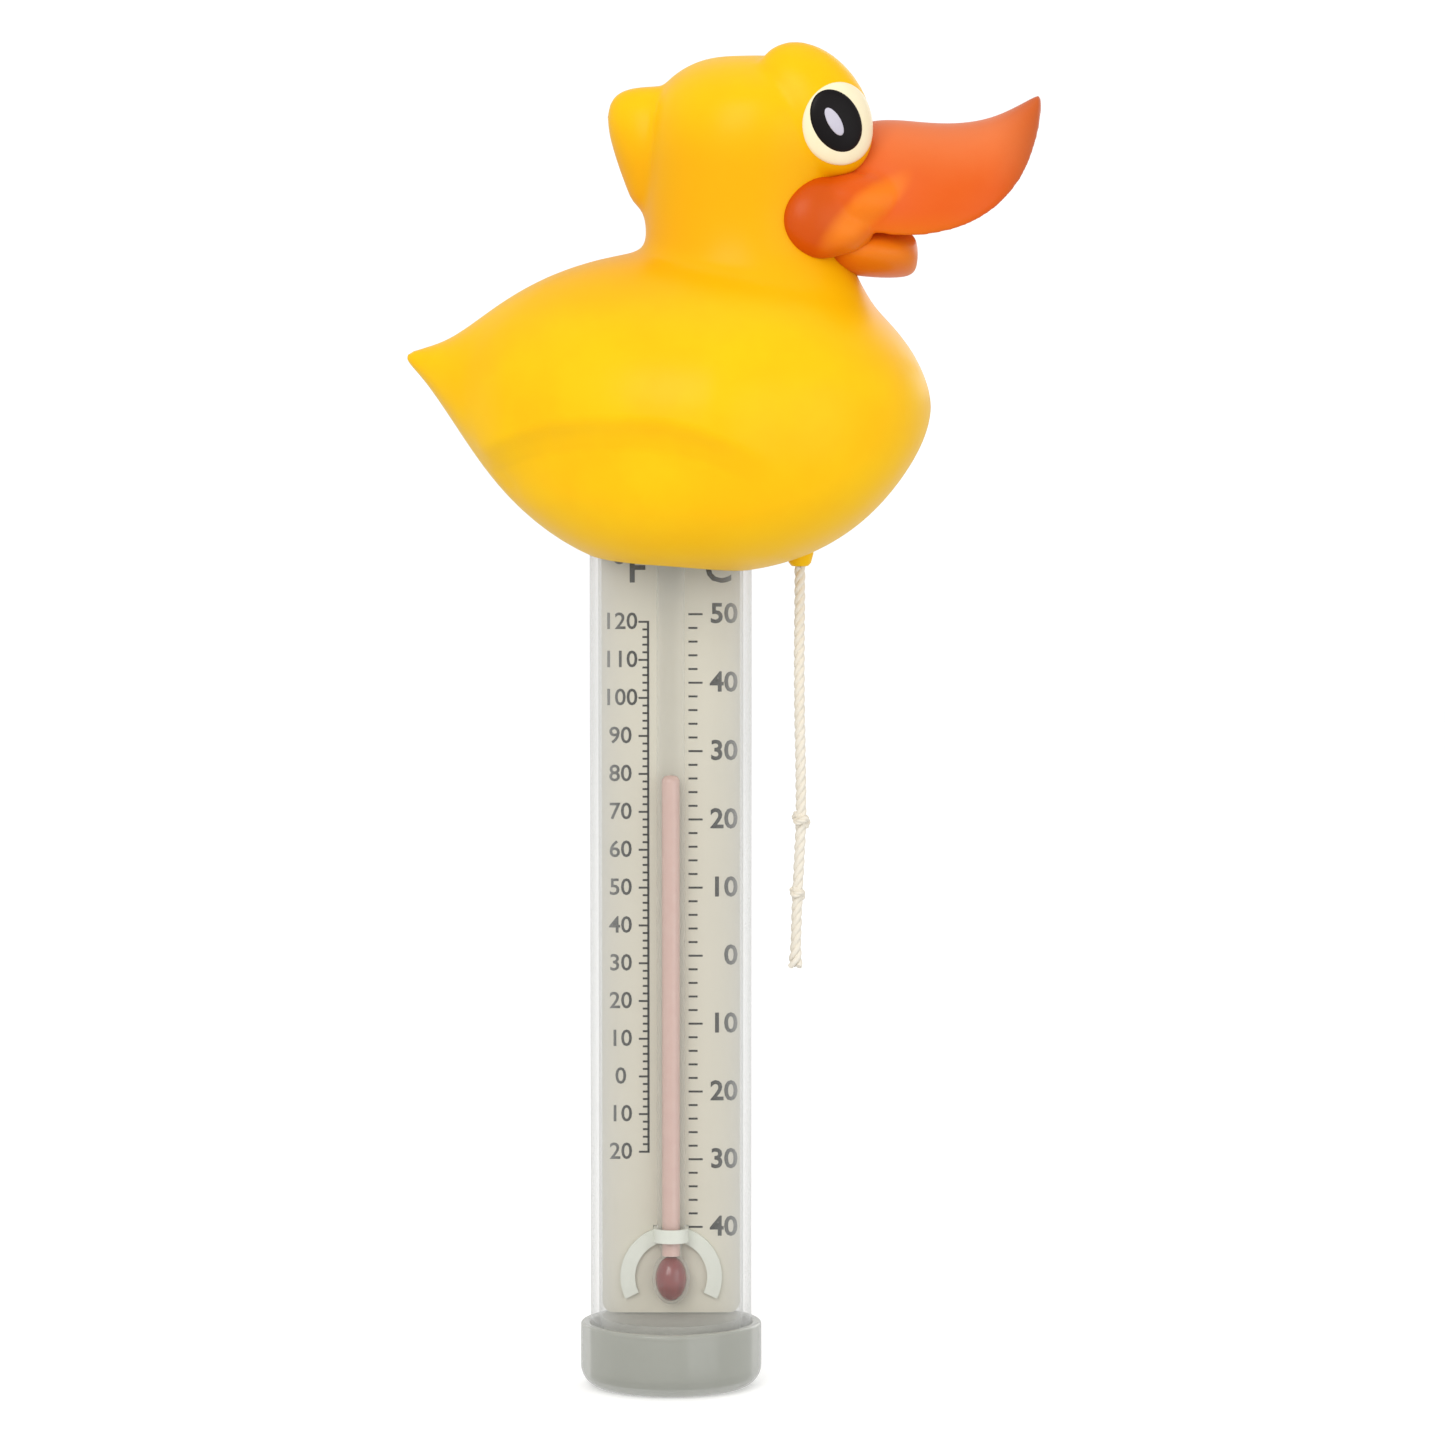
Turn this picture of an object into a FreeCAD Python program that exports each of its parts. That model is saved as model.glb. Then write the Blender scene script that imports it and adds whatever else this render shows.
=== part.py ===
import FreeCAD, Part
import math
import os
from FreeCAD import Vector

# Floating pool thermometer: a hollow duck float pushed onto a clear tube that holds a spirit
# thermometer and its scale card, with a weighted push-on cap at the foot and a short tether cord.
# Millimetres. Origin at the centre of the cap's flat base, +Z up the tube, +X the way the duck faces.

# push-on cap, gasket and ballast, from the base up
cap_wall = 1.7
cap_height = 11.5
cap_floor = 1.6
cap_corner = 3.8
cap_rim_round = 0.5
cap_fit_gap = 0.05         # radial, cap on the tube
gasket_thickness = 1.1
gasket_lip = 0.1           # radial, the gasket's hole over the tube's bore
seat_gap = 0.05            # between the gasket and the tube that closes onto it
ballast_height = 8.4
ballast_chamfer = 0.5
pad_thickness = 2.4
ballast_gap = 0.45         # radial, ballast and pad inside the tube's bore

# clear tube
tube_od = 28.5
tube_wall = 1.5
tube_exposed = 132.5       # cap rim to the duck's belly
socket_depth = 22.0        # belly to the top edge of the tube

# plug that closes the tube's top
plug_length = 11.0
plug_flange = 2.0
plug_gap = 0.05            # radial, plug in the bore
plug_groove_depth = 1.4
plug_groove_height = 2.0
plug_groove_from_top = 3.2

# scale card
card_side_gap = 0.35       # radial, the card's back corners in the bore
card_thickness = 0.8
card_front_y = 1.4
card_foot_gap = 0.3        # card above the pad
card_in_plug = 3.5
card_slot_gap = 0.1
card_corner = 2.0

# glass thermometer
stem_od = 5.0
bore_radius = 0.5
stem_card_gap = 0.1        # between the stem's back and the card's face
bulb_radius = 3.4
bulb_half_height = 4.6
bulb_wall = 0.6
bulb_above_card_foot = 6.5
stem_top_below_plug = 3.0
bulb_window_gap = 0.3      # round the bulb where it passes through the card
spirit_gap = 0.06          # radial, so that the column can run in the bore
column_foot_gap = 0.1      # column over the reservoir

# scale: where the printed degrees lie, and what the column reads
low_mark_above_bulb = 8.8  # height of the -40 C mark over the bulb's centre
low_mark_degrees = -40.0
degree_pitch = 1.209
reading = 26.7

# clips that hold the stem on the card
clip_height = 2.4
clip_thickness = 0.6
clip_foot = 1.6
clip_slot_gap = 0.1
lower_clip_above_bulb = 7.8
upper_clip_below_stem_top = 4.5
saddle_radius = 9.0        # arch on the card over the bulb, part of the lower clip
saddle_width = 2.6
saddle_thickness = 0.8
saddle_gap = 0.05          # between the saddle and the card's face
saddle_spread = 64.0       # degrees that the arch reaches down on each side

# duck float, outer form
wall = 1.8
body_length = 92.3
body_height = 57.5
body_width = 65.0
body_rear = -46.6          # x of the tail's tip
belly_fullness = 2.6       # 2 would give the lower body an oval section
head_height = 41.0         # neck root to crown
head_length = 38.5
head_width = 39.0
head_rear = -4.0           # x of the back of the skull
neck_sink = 11.0           # the neck's root below the top of the back
thinnest_ring = 0.3        # rings thinner than this are left out of the hollow inside

# collar in the float that takes the tube
collar_gap = 0.3           # radial, tube in the collar
collar_wall = 2.0
belly_hole_gap = 0.35
collar_ceiling = 1.6
ceiling_gap = 0.1
ring_section = 0.55        # radius of the collar ring's section
ring_from_belly = 16.0
ring_grip_gap = 0.1
ring_seat_fit = 1.3        # half height of the ring's seat over the ring's own

# seam bosses that line up the two half shells
boss_radius = 2.6
pin_radius = 1.2
pin_length = 2.0
pin_gap = 0.1

# bill
bill_length = 36.9         # from its root inside the head to the tip
lower_bill_length = 15.5
bill_width = 27.2
upper_peg_radius = 3.0
lower_peg_radius = 1.8
peg_length = 6.0
peg_into_bill = 1.0        # how much of the peg stands in front of the head
peg_gap = 0.05

# eyes
eye_shell = 0.6
pupil_shell = 0.35
eye_half_width = 5.6
eye_half_height = 7.2
pupil_half_width = 3.4
pupil_half_height = 5.4
eye_tilt = 24.0            # degrees the eye leans back
eye_trim_start = 1.0       # along the gaze from the bulge's centre
eye_trim_depth = 14.0

# tether
cord_diameter = 2.0
tether_from_tube = 8.45    # cord's centre line out from the tube's wall
tether_plug_radius = 2.4
tether_plug_length = 6.0
tether_plug_shows = 1.0    # how far the plug stands out below the belly
tether_plug_chamfer = 0.5
tether_hole_gap = 0.05
knot_stretch = 1.1         # a knot's height over its width
tether_knot_radius = 2.1
end_knot_radius = 1.8
anchor_knot_radius = 2.2

# heights that follow
tube_radius = tube_od / 2
bore = tube_radius - tube_wall
cap_radius = tube_radius + cap_fit_gap + cap_wall
tube_bottom = cap_floor + gasket_thickness + seat_gap
belly = cap_height + tube_exposed
tube_top = belly + socket_depth
plug_bottom = tube_top - plug_length
pad_top = cap_floor + ballast_height + pad_thickness
card_bottom = pad_top + card_foot_gap
card_top = plug_bottom + card_in_plug
bulb_z = card_bottom + bulb_above_card_foot
stem_radius = stem_od / 2
stem_y = card_front_y - stem_card_gap - stem_radius
stem_top = plug_bottom - stem_top_below_plug
low_mark = bulb_z + low_mark_above_bulb
column_bottom = bulb_z + bulb_half_height - bulb_wall + column_foot_gap
column_top = low_mark + (reading - low_mark_degrees) * degree_pitch
socket_top = tube_top + plug_flange + ceiling_gap
neck_root = belly + body_height - neck_sink
tether_x = tube_radius + tether_from_tube

past = 1.0                 # how far a cutter runs past what it cuts
reach = 200.0              # longer than any piece

OUT = "parts"
UP = Vector(0, 0, 1)
FORWARD = Vector(1, 0, 0)
LEFT = Vector(0, 1, 0)


# small helpers
def cylinder(radius, bottom, top, x=0.0, y=0.0):
    return Part.makeCylinder(radius, top - bottom, Vector(x, y, bottom))


def tube(outer, inner, bottom, top):
    return cylinder(outer, bottom, top).cut(cylinder(inner, bottom - past, top + past))


def box(x0, x1, y0, y1, z0, z1):
    return Part.makeBox(x1 - x0, y1 - y0, z1 - z0, Vector(x0, y0, z0))


def ellipsoid(centre, rx, ry, rz):
    scale = FreeCAD.Matrix()
    scale.scale(rx, ry, rz)
    solid = Part.makeSphere(1.0).transformGeometry(scale)
    solid.translate(centre)
    return solid


def oval(centre, half_u, half_v):
    """Closed smooth ring round centre; half_u and half_v are its two half-axis vectors."""
    points = []
    for step in range(16):
        angle = 2 * math.pi * step / 16
        points.append(centre + half_u * math.cos(angle) + half_v * math.sin(angle))
    curve = Part.BSplineCurve()
    curve.interpolate(points, PeriodicFlag=True)
    return Part.Wire(curve.toShape())


def belly_ring(centre, half_width, half_height):
    """Closed smooth ring across the body: an oval above its middle and squarer below it."""
    points = []
    for step in range(24):
        angle = 2 * math.pi * step / 24
        across, up = math.cos(angle), math.sin(angle)
        if up < 0:
            bulge = (abs(across) ** belly_fullness + abs(up) ** belly_fullness) ** (1 / belly_fullness)
            across, up = across / bulge, up / bulge
        points.append(centre + LEFT * (half_width * across) + UP * (half_height * up))
    curve = Part.BSplineCurve()
    curve.interpolate(points, PeriodicFlag=True)
    return Part.Wire(curve.toShape())


def largest(shape):
    return max(shape.Solids, key=lambda solid: solid.Volume)


def first_hit(shape, start, direction):
    """First point at which a straight line from start meets the solid."""
    line = Part.makeLine(start, start + direction * reach)
    points = [vertex.Point for vertex in line.common(shape).Vertexes]
    return min(points, key=lambda point: point.distanceToPoint(start))


# cap end
def bottom_cap():
    cup = cylinder(cap_radius, 0, cap_height)
    base_edge = [e for e in cup.Edges if e.Closed and e.BoundBox.ZMax < 0.01]
    cup = cup.makeFillet(cap_corner, base_edge)
    rim_edge = [e for e in cup.Edges if e.Closed and e.BoundBox.ZMin > cap_height - 0.01]
    cup = cup.makeFillet(cap_rim_round, rim_edge)
    return cup.cut(cylinder(tube_radius + cap_fit_gap, cap_floor, cap_height + past))


def cap_gasket():
    return tube(tube_radius, bore + gasket_lip, cap_floor, cap_floor + gasket_thickness)


def ballast_weight():
    slug = cylinder(bore - ballast_gap, cap_floor, cap_floor + ballast_height)
    rims = [e for e in slug.Edges if e.Closed]
    return slug.makeChamfer(ballast_chamfer, rims)


def ballast_pad():
    return cylinder(bore - ballast_gap, cap_floor + ballast_height, pad_top)


# tube end
def clear_tube():
    return tube(tube_radius, bore, tube_bottom, tube_top)


def top_plug():
    plug = cylinder(bore - plug_gap, plug_bottom, tube_top)
    plug = plug.fuse(cylinder(tube_radius, tube_top, tube_top + plug_flange)).removeSplitter()
    groove_top = tube_top - plug_groove_from_top
    groove = tube(bore + past, bore - plug_groove_depth, groove_top - plug_groove_height, groove_top)
    slot_half = card_thickness / 2 + card_slot_gap
    card_mid = card_front_y + card_thickness / 2
    slot = box(-bore, bore, card_mid - slot_half, card_mid + slot_half,
               plug_bottom - past, card_top + card_slot_gap)
    return plug.cut(groove).cut(slot)


def plug_ring():
    section = plug_groove_depth / 2
    middle = tube_top - plug_groove_from_top - plug_groove_height / 2
    return Part.makeTorus(bore - section, section, Vector(0, 0, middle))


def saddle():
    """Flat arch on the card's face, round the bulb's upper half."""
    face = card_front_y - saddle_gap
    centre = Vector(0, face - saddle_thickness, bulb_z)
    turned = Part.makeCylinder(saddle_radius, saddle_thickness, centre, LEFT)
    turned = turned.cut(Part.makeCylinder(saddle_radius - saddle_width, saddle_thickness, centre, LEFT))
    for side in (-1, 1):
        wedge = box(0, reach, -reach, reach, -2 * reach, 0)
        wedge.rotate(Vector(0, 0, 0), LEFT, 90 - saddle_spread)
        if side < 0:
            wedge = wedge.mirror(Vector(0, 0, 0), FORWARD)
        wedge.translate(Vector(0, 0, bulb_z))
        turned = turned.cut(wedge)
    return turned


def clip_solid(middle):
    """Strap over the stem, with two legs through the card and two feet bent out behind it."""
    low = middle - clip_height / 2
    high = middle + clip_height / 2
    outer_radius = stem_radius + clip_thickness
    card_back = card_front_y + card_thickness
    arch = cylinder(outer_radius, low, high, y=stem_y)
    arch = arch.cut(box(-bore, bore, stem_y, bore, low - past, high + past))
    legs = box(-outer_radius, outer_radius, stem_y, card_back + clip_thickness, low, high)
    strap = arch.fuse(legs)
    strap = strap.cut(cylinder(stem_radius, low - past, high + past, y=stem_y))
    strap = strap.cut(box(-stem_radius, stem_radius, stem_y, bore, low - past, high + past))
    for side in (-1, 1):
        start = side * stem_radius
        end = side * (outer_radius + clip_foot)
        strap = strap.fuse(box(min(start, end), max(start, end), card_back,
                               card_back + clip_thickness, low, high))
    return strap.removeSplitter()


lower_clip_z = bulb_z + lower_clip_above_bulb
upper_clip_z = stem_top - upper_clip_below_stem_top


def stem_clip_lower():
    clip = clip_solid(lower_clip_z).fuse(saddle())
    return clip.cut(cylinder(stem_radius, bulb_z, stem_top, y=stem_y)).removeSplitter()


def scale_card():
    card_back = card_front_y + card_thickness
    half = math.sqrt((bore - card_side_gap) ** 2 - card_back ** 2)
    card = box(-half, half, card_front_y, card_back, card_bottom, card_top)
    side_edges = [e for e in card.Edges
                  if abs(e.BoundBox.ZMax - e.BoundBox.ZMin) < 0.01 and e.BoundBox.YLength > 0.1]
    lower_corners = [e for e in side_edges if e.BoundBox.ZMax < card_bottom + 0.01]
    card = card.makeFillet(card_corner, lower_corners)
    width = bulb_radius + bulb_window_gap
    card = card.cut(ellipsoid(Vector(0, stem_y, bulb_z), width, width,
                              bulb_half_height + bulb_window_gap))
    slot_low = stem_radius - clip_slot_gap
    slot_high = stem_radius + clip_thickness + clip_slot_gap
    for middle in (lower_clip_z, upper_clip_z):
        low = middle - clip_height / 2 - clip_slot_gap
        high = middle + clip_height / 2 + clip_slot_gap
        for side in (-1, 1):
            edges = sorted((side * slot_low, side * slot_high))
            card = card.cut(box(edges[0], edges[1], 0, bore, low, high))
    return card


def glass_stem():
    centre = Vector(0, stem_y, bulb_z)
    outside = ellipsoid(centre, bulb_radius, bulb_radius, bulb_half_height)
    outside = outside.fuse(cylinder(stem_radius, bulb_z, stem_top - stem_radius, y=stem_y))
    outside = outside.fuse(Part.makeSphere(stem_radius, Vector(0, stem_y, stem_top - stem_radius)))
    inside = reservoir_form()
    inside = inside.fuse(cylinder(bore_radius, bulb_z, stem_top - 2 * stem_radius, y=stem_y))
    return outside.cut(inside)


def reservoir_form():
    return ellipsoid(Vector(0, stem_y, bulb_z), bulb_radius - bulb_wall,
                     bulb_radius - bulb_wall, bulb_half_height - bulb_wall)


def spirit_reservoir():
    return reservoir_form()


def spirit_column():
    return cylinder(bore_radius - spirit_gap, column_bottom, column_top, y=stem_y)


# duck form
# Each body station: share of the length from the tail, top and bottom as shares of the height
# above the belly, half width as a share of the half width.
body_stations = [
    (0.000, 0.675, 0.650, 0.02),
    (0.035, 0.690, 0.600, 0.10),
    (0.090, 0.715, 0.470, 0.25),
    (0.170, 0.820, 0.275, 0.46),
    (0.270, 0.915, 0.130, 0.69),
    (0.390, 0.975, 0.030, 0.89),
    (0.520, 1.000, 0.000, 0.99),
    (0.660, 0.995, 0.005, 1.00),
    (0.780, 0.945, 0.060, 0.92),
    (0.880, 0.840, 0.165, 0.75),
    (0.950, 0.720, 0.300, 0.54),
    (0.988, 0.610, 0.410, 0.28),
    (1.000, 0.530, 0.490, 0.06),
]
# Each head station: share of the height above the neck's root, rear and front as shares of the
# head's length from the back of the skull, half width as a share of the half width.
head_stations = [
    (0.000, 0.010, 0.900, 0.80),
    (0.180, 0.010, 0.890, 0.81),
    (0.340, 0.015, 0.905, 0.86),
    (0.500, 0.005, 0.950, 0.94),
    (0.650, 0.000, 0.995, 1.00),
    (0.780, 0.015, 1.000, 0.99),
    (0.880, 0.080, 0.965, 0.90),
    (0.950, 0.190, 0.880, 0.70),
    (0.985, 0.320, 0.740, 0.44),
    (1.000, 0.440, 0.600, 0.18),
]
# Each crest station: share of the head's height, how far it stands behind the skull, half width.
crest_stations = [
    (0.280, 0.3, 3.5),
    (0.470, 3.2, 6.0),
    (0.640, 5.4, 7.2),
    (0.790, 6.5, 6.2),
    (0.870, 5.0, 4.4),
    (0.930, 1.2, 2.6),
]
crest_front = 0.25         # how far forward in the skull the crest reaches, as a share of it
# Bulge under each eye: its centre as head shares (forward, sideways, up), and its radii.
eye_bulge_place = (0.748, 0.554, 0.839)
eye_bulge_radii = (9.1, 7.4, 12.8)
eye_bulge_lean = 34.0      # degrees that its top leans back


def head_point(forward, sideways, up):
    """Point in the head from shares of its length, half width and height."""
    return Vector(head_rear + forward * head_length, sideways * head_width / 2,
                  neck_root + up * head_height)


def body_form(inset):
    """The duck's body without its head; inset shrinks it evenly for the hollow inside."""
    rings = []
    for share, top, bottom, width in body_stations:
        half_height = (top - bottom) * body_height / 2 - inset
        half_width = width * body_width / 2 - inset
        if min(half_height, half_width) < thinnest_ring:
            continue
        shrink = 1 - 2 * inset / body_length
        x = body_rear + body_length * (0.5 + (share - 0.5) * shrink)
        z = belly + body_height * (top + bottom) / 2
        rings.append(belly_ring(Vector(x, 0, z), half_width, half_height))
    return Part.makeLoft(rings, True, False)


def head_form(inset):
    rings = []
    for share, rear, front, width in head_stations:
        half_length = (front - rear) * head_length / 2 - inset
        half_width = width * head_width / 2 - inset
        if min(half_length, half_width) < thinnest_ring:
            continue
        shrink = 1 - inset / head_height
        z = neck_root + head_height * share * shrink
        x = head_rear + head_length * (front + rear) / 2
        rings.append(oval(Vector(x, 0, z), FORWARD * half_length, LEFT * half_width))
    return Part.makeLoft(rings, True, False)


def crest_form():
    """Tuft that runs up the back of the head to a blunt point."""
    rings = []
    middle = head_rear + crest_front * head_length
    for share, stands, half_width in crest_stations:
        back = head_rear - stands
        centre = Vector((back + middle) / 2, 0, neck_root + head_height * share)
        rings.append(oval(centre, FORWARD * (middle - back) / 2, LEFT * half_width))
    return Part.makeLoft(rings, True, False)


def eye_bulge_centre(side):
    forward, sideways, up = eye_bulge_place
    return head_point(forward, side * sideways, up)


def eye_bulge(side, grow=0.0):
    rx, ry, rz = eye_bulge_radii
    centre = eye_bulge_centre(side)
    bulge = ellipsoid(centre, rx + grow, ry + grow, rz + grow)
    bulge.rotate(centre, LEFT, -eye_bulge_lean)
    return bulge


def duck_outside():
    form = body_form(0).fuse(head_form(0)).fuse(crest_form())
    return form.fuse(eye_bulge(1)).fuse(eye_bulge(-1))


def duck_inside():
    return body_form(wall).fuse(head_form(wall))


outside = duck_outside()
inside = duck_inside()


# bill
# Each upper bill station: share of the bill's length from its root, heights of the ridge and of
# the side rims as shares of the head's height, half width as a share of the bill's half width.
upper_bill_stations = [
    (0.00, 0.768, 0.329, 0.88),
    (0.20, 0.795, 0.312, 0.97),
    (0.40, 0.785, 0.317, 1.00),
    (0.60, 0.785, 0.356, 0.95),
    (0.78, 0.800, 0.410, 0.82),
    (0.90, 0.839, 0.498, 0.62),
    (0.97, 0.873, 0.622, 0.38),
    (1.00, 0.898, 0.805, 0.14),
]
# Each lower bill station: share of its length, top and bottom heights, half width share.
lower_bill_stations = [
    (0.00, 0.350, 0.146, 0.80),
    (0.25, 0.346, 0.126, 0.90),
    (0.60, 0.340, 0.122, 0.88),
    (0.85, 0.325, 0.128, 0.74),
    (1.00, 0.290, 0.185, 0.42),
]
# The arch's section, across and up as shares of its half width and its drop.
arch_top = [(-1, 0), (-0.86, 0.48), (-0.52, 0.86), (0, 1), (0.52, 0.86), (0.86, 0.48), (1, 0)]
arch_under = [(1, 0), (0.5, 0.30), (0, 0.42), (-0.5, 0.30), (-1, 0)]
bill_root_share = 0.82     # where the bill starts inside the head
cheek_place = (0.77, 0.64, 0.39)
cheek_radii = (6.3, 4.2, 7.0)
upper_peg_share = 0.54     # heights of the two pegs up the head
lower_peg_share = 0.235

bill_root = head_rear + bill_root_share * head_length
upper_peg_z = neck_root + upper_peg_share * head_height
lower_peg_z = neck_root + lower_peg_share * head_height


def arch_ring(x, ridge, rim, half_width):
    """Closed arch section: a domed top and a hollowed underside that meet at two side rims."""
    drop = ridge - rim

    def curve(shares):
        line = Part.BSplineCurve()
        line.interpolate([Vector(x, half_width * across, rim + drop * up) for across, up in shares])
        return line.toShape()

    return Part.Wire([curve(arch_top), curve(arch_under)])


def peg(radius, height, behind=0.0):
    """Round peg from inside the head to just in front of it; behind lengthens it rearwards."""
    face = first_hit(outside, Vector(reach / 2, 0, height), FORWARD * -1).x
    length = peg_length + behind
    return Part.makeCylinder(radius, length, Vector(face + peg_into_bill - length, 0, height), FORWARD)


def bill_upper():
    rings = []
    for share, ridge, rim, width in upper_bill_stations:
        rings.append(arch_ring(bill_root + bill_length * share, neck_root + ridge * head_height,
                               neck_root + rim * head_height, width * bill_width / 2))
    shell = Part.makeLoft(rings, True, False)
    for side in (-1, 1):
        forward, sideways, up = cheek_place
        shell = shell.fuse(ellipsoid(head_point(forward, side * sideways, up), *cheek_radii))
    return largest(shell.cut(outside)).fuse(peg(upper_peg_radius, upper_peg_z))


def bill_lower(upper):
    rings = []
    for share, top, bottom, width in lower_bill_stations:
        x = bill_root + lower_bill_length * share
        centre = Vector(x, 0, neck_root + head_height * (top + bottom) / 2)
        rings.append(oval(centre, LEFT * width * bill_width / 2,
                          UP * head_height * (top - bottom) / 2))
    scoop = Part.makeLoft(rings, True, False)
    scoop = scoop.cut(outside).cut(upper)
    return largest(scoop).fuse(peg(lower_peg_radius, lower_peg_z))


# eyes
eye_gaze = (0.36, 0.90, -0.24)    # forward, outward, up: mostly sideways


def gaze(side):
    forward, outward, up = eye_gaze
    return Vector(forward, side * outward, up).normalize()


def eye_cutter(side, half_width, half_height):
    """Elliptic prism along the gaze that trims a thin dome to the eye's outline."""
    out = gaze(side)
    across = out.cross(UP).normalize() * side
    upward = out.cross(across).normalize() * side
    lean = math.radians(eye_tilt)
    long_axis = upward * math.cos(lean) + across * math.sin(lean)
    short_axis = across * math.cos(lean) - upward * math.sin(lean)
    start = eye_bulge_centre(side) + out * eye_trim_start
    ring = oval(start, short_axis * half_width, long_axis * half_height)
    return Part.Face(ring).extrude(out * eye_trim_depth)


def eye_white(side):
    dome = eye_bulge(side, eye_shell).common(eye_cutter(side, eye_half_width, eye_half_height))
    return largest(dome.cut(outside))


def pupil(side):
    dome = eye_bulge(side, eye_shell + pupil_shell)
    dome = dome.common(eye_cutter(side, pupil_half_width, pupil_half_height))
    return largest(dome.cut(eye_bulge(side, eye_shell)))


# float shells and collar
def seam_bosses():
    """Feet of the bosses on the seam: one behind, one in the breast, one in the crown."""
    return [
        Vector(body_rear + 0.17 * body_length, 0, belly + 0.54 * body_height),
        Vector(body_rear + 0.91 * body_length, 0, belly + 0.52 * body_height),
        head_point(0.34, 0, 0.86),
    ]


def float_shells():
    shell = outside.cut(inside)
    shell = shell.cut(cylinder(tube_radius + belly_hole_gap, belly - past, tube_top))
    shell = shell.cut(cylinder(tether_plug_radius, belly - past, tube_top, x=tether_x))
    for radius, height in ((upper_peg_radius, upper_peg_z), (lower_peg_radius, lower_peg_z)):
        shell = shell.cut(peg(radius + peg_gap, height, behind=wall))
    halves = []
    for side in (1, -1):
        near, far = sorted((0, side * reach))
        half = largest(shell.common(box(-reach, reach, near, far, 0, 2 * reach)))
        for foot in seam_bosses():
            boss = Part.makeCylinder(boss_radius, body_width, foot, LEFT * side).common(outside)
            half = half.fuse(boss)
            if side > 0:
                pin = Part.makeCylinder(pin_radius, pin_length + past, foot - LEFT * pin_length, LEFT)
                half = half.fuse(pin)
            else:
                hole = Part.makeCylinder(pin_radius + pin_gap, pin_length + 2 * pin_gap, foot,
                                         LEFT * -1)
                half = half.cut(hole)
        halves.append(largest(half))
    return halves


def float_collar():
    inner = tube_radius + collar_gap
    outer = inner + collar_wall
    cup = cylinder(outer, belly, socket_top + collar_ceiling)
    cup = cup.cut(cylinder(inner, belly - past, socket_top))
    middle = belly + ring_from_belly
    half_seat = ring_section * ring_seat_fit
    seat = tube(ring_middle() + ring_section, inner - past, middle - half_seat, middle + half_seat)
    return largest(cup.cut(seat).common(inside))


def ring_middle():
    return tube_radius + ring_grip_gap + ring_section


def collar_ring():
    return Part.makeTorus(ring_middle(), ring_section, Vector(0, 0, belly + ring_from_belly))


# tether
belly_at_tether = first_hit(outside, Vector(tether_x, 0, 0), UP).z
exit_z = belly_at_tether - tether_plug_shows
# Route of the cord's centre line as x, y and drop below its exit; it hangs free.
cord_route = [
    (0.00, 0.00, 0.0),
    (0.00, 0.00, 6.2),
    (-0.12, -0.32, 15.4),
    (-0.05, -0.38, 26.0),
    (0.18, -0.20, 36.2),
    (0.25, 0.08, 44.8),
    (-0.05, 0.24, 51.3),
    (-0.38, 0.32, 57.8),
    (-0.62, 0.58, 64.8),
    (-0.75, 0.95, 70.8),
]
tether_knot_point = 5      # which points of the route the two knots sit on
end_knot_point = 7
run_share = 0.45           # share of the shorter run that an arc takes


def cord_points():
    return [Vector(tether_x + x, y, exit_z - drop) for x, y, drop in cord_route]


def cord_path():
    """Straight runs joined by tangent arcs, each as large as its two runs allow."""
    points = cord_points()
    edges, start = [], points[0]
    for before, corner, after in zip(points, points[1:], points[2:]):
        back = before - corner
        ahead = after - corner
        turn = math.pi - back.getAngle(ahead)
        reach = run_share * min(back.Length, ahead.Length)
        radius = reach / math.tan(turn / 2)
        print("cord arc radius %.1f mm" % radius)
        entry = corner + back.normalize() * reach
        leave = corner + ahead.normalize() * reach
        inward = (entry + leave - corner * 2).normalize()
        middle = corner + inward * (radius / math.cos(turn / 2) - radius)
        edges.append(Part.LineSegment(start, entry).toShape())
        edges.append(Part.Arc(entry, middle, leave).toShape())
        start = leave
    edges.append(Part.LineSegment(start, points[-1]).toShape())
    return Part.Wire(edges)


def tether_cord():
    path = cord_path()
    heading = (cord_points()[1] - cord_points()[0]).normalize()
    circle = Part.Wire(Part.makeCircle(cord_diameter / 2, cord_points()[0], heading))
    cord = path.makePipeShell([circle], True, True)
    expected = math.pi * (cord_diameter / 2) ** 2 * path.Length
    print("cord length %.1f mm, volume %.2f of %.2f mm3" % (path.Length, cord.Volume, expected))
    return cord


def knot_on(cord, point, radius):
    ball = ellipsoid(cord_points()[point], radius, radius, radius * knot_stretch)
    return largest(ball.cut(cord))


def tether_plug():
    plug = cylinder(tether_plug_radius, exit_z, exit_z + tether_plug_length, x=tether_x)
    lower_rim = [e for e in plug.Edges if e.Closed and e.BoundBox.ZMax < exit_z + 0.01]
    plug = plug.makeChamfer(tether_plug_chamfer, lower_rim)
    hole = cord_diameter / 2 + tether_hole_gap
    top = exit_z + tether_plug_length
    return plug.cut(cylinder(hole, exit_z - past, top + past, x=tether_x))


def anchor_knot():
    top = exit_z + tether_plug_length
    lead = cylinder(cord_diameter / 2, exit_z, top + anchor_knot_radius, x=tether_x)
    ball = Part.makeSphere(anchor_knot_radius, Vector(tether_x, 0, top + anchor_knot_radius))
    return lead.fuse(ball)


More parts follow.
